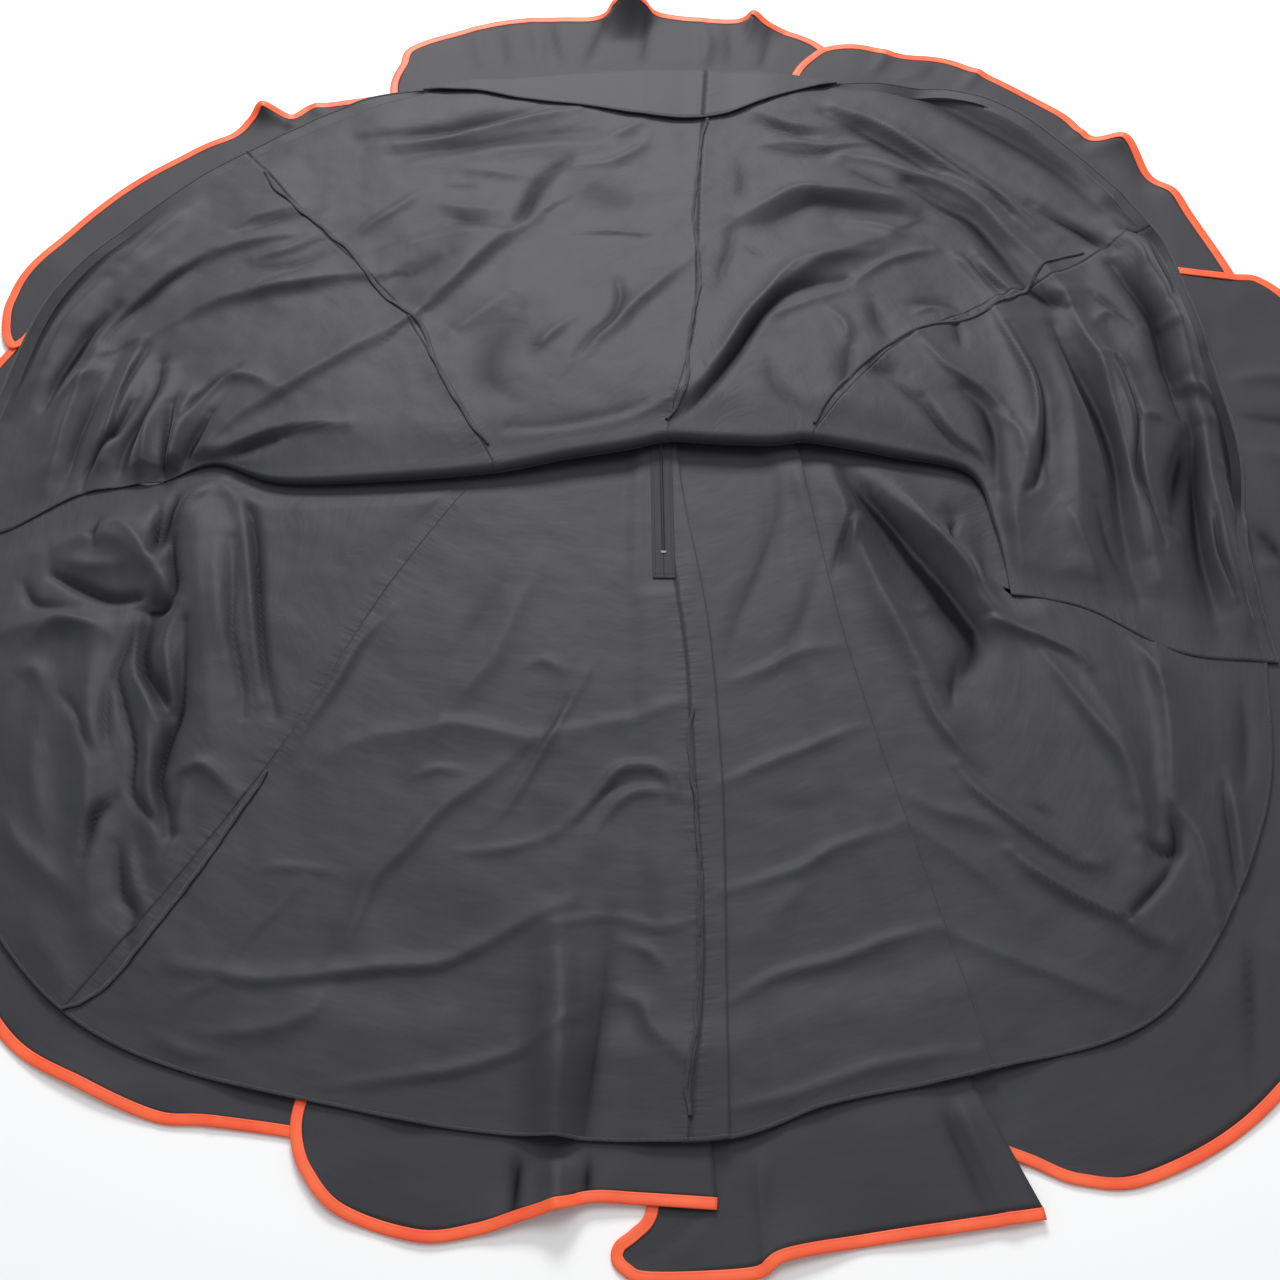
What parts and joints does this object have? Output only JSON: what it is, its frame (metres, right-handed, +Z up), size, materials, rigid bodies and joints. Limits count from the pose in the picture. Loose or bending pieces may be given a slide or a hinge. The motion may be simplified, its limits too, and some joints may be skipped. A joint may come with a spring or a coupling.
{
  "type": "flamenco skirt",
  "caption": "Full-circle charcoal flamenco skirt laid out flat inside up, with flared gores, bound flounces at the hem, a back zip and a waistband.",
  "frame": {"origin": "under the middle of the skirt's box, on the surface it lies on", "axes": "+X to the viewer's right, +Y away from the viewer towards the front hem, +Z up from the surface"},
  "size_m": [1.7554, 1.7736, 0.0523],
  "materials": {
    "inside_cloth": "charcoal smooth polyester with a soft satin sheen and a fine weave",
    "flounce_cloth": "slightly darker and more matt charcoal polyester",
    "satin_binding": "bright orange-red satin bias binding, folded over the edge and topstitched",
    "zip_tape": "woven charcoal zip tape",
    "zip_coil": "dark nylon coil",
    "zip_slider": "dark painted slider"
  },
  "bodies": {
    "root": {"side_back_left": "inside_cloth", "back_left": "inside_cloth", "back_right": "inside_cloth", "side_back_right": "inside_cloth", "side_front_right": "inside_cloth", "front_right": "inside_cloth", "front_left": "inside_cloth", "side_front_left": "inside_cloth", "flounce_front_right": "flounce_cloth", "flounce_front": "flounce_cloth", "flounce_front_left": "flounce_cloth", "flounce_left": "flounce_cloth", "flounce_back_left": "flounce_cloth", "flounce_back_right": "flounce_cloth", "flounce_right": "flounce_cloth", "binding_front_right": "satin_binding", "binding_front": "satin_binding", "binding_front_left": "satin_binding", "binding_left": "satin_binding", "binding_back_left": "satin_binding", "binding_back_right": "satin_binding", "binding_right": "satin_binding", "zip_tape_left": "zip_tape", "zip_tape_right": "zip_tape", "zip_coil": "zip_coil", "zip_slider": "zip_slider", "waistband": "inside_cloth", "front_turned_under": "inside_cloth"}
  },
  "joints": []
}
